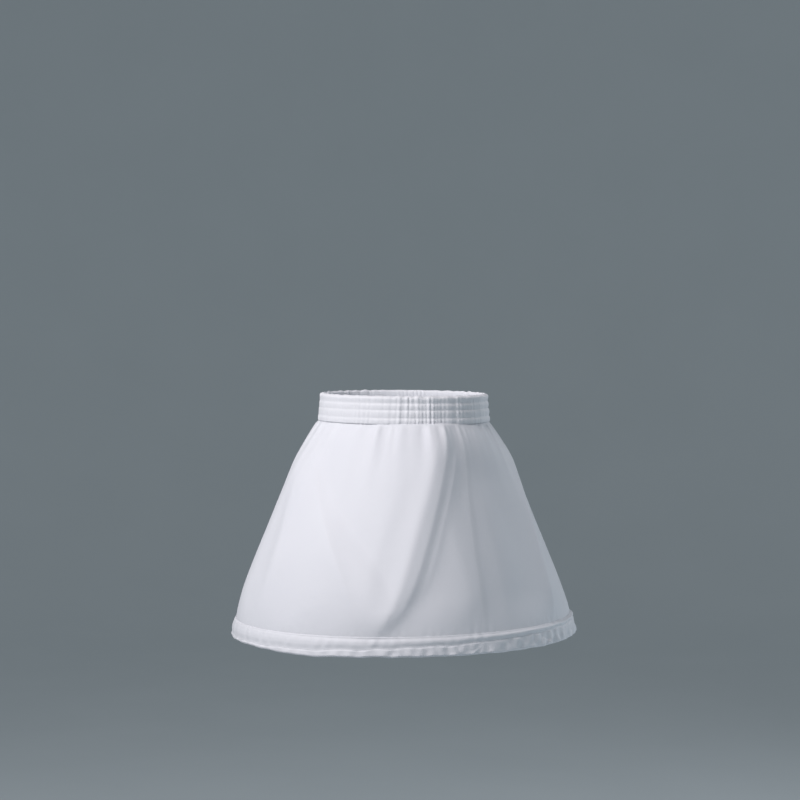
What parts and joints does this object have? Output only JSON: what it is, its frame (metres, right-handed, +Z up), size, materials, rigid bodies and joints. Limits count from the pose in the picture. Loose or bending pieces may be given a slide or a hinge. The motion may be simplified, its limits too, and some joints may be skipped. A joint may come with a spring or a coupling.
{
  "type": "crinoline petticoat",
  "caption": "Short white bell-shaped petticoat with a gathered elastic waistband and a springy hoop cased in the hem.",
  "frame": {"origin": "centre of the waist opening, half way up the waistband", "axes": "+Z up along the wearer's body, -Y towards the wearer's front, +X towards the wearer's left"},
  "size_m": [0.5012, 0.5012, 0.35],
  "materials": {
    "cloth": "smooth white woven polyester with a faint sheen",
    "elastic": "ribbed white woven elastic",
    "boning": "satin white plastic strip",
    "joiner": "smooth milky plastic sleeve"
  },
  "bodies": {
    "root": {"waistband_casing": "cloth", "waist_elastic": "elastic", "front_gore": "cloth", "left_back_gore": "cloth", "right_back_gore": "cloth", "hem_casing": "cloth", "hem_hoop": "boning", "hoop_joiner": "joiner"}
  },
  "joints": []
}
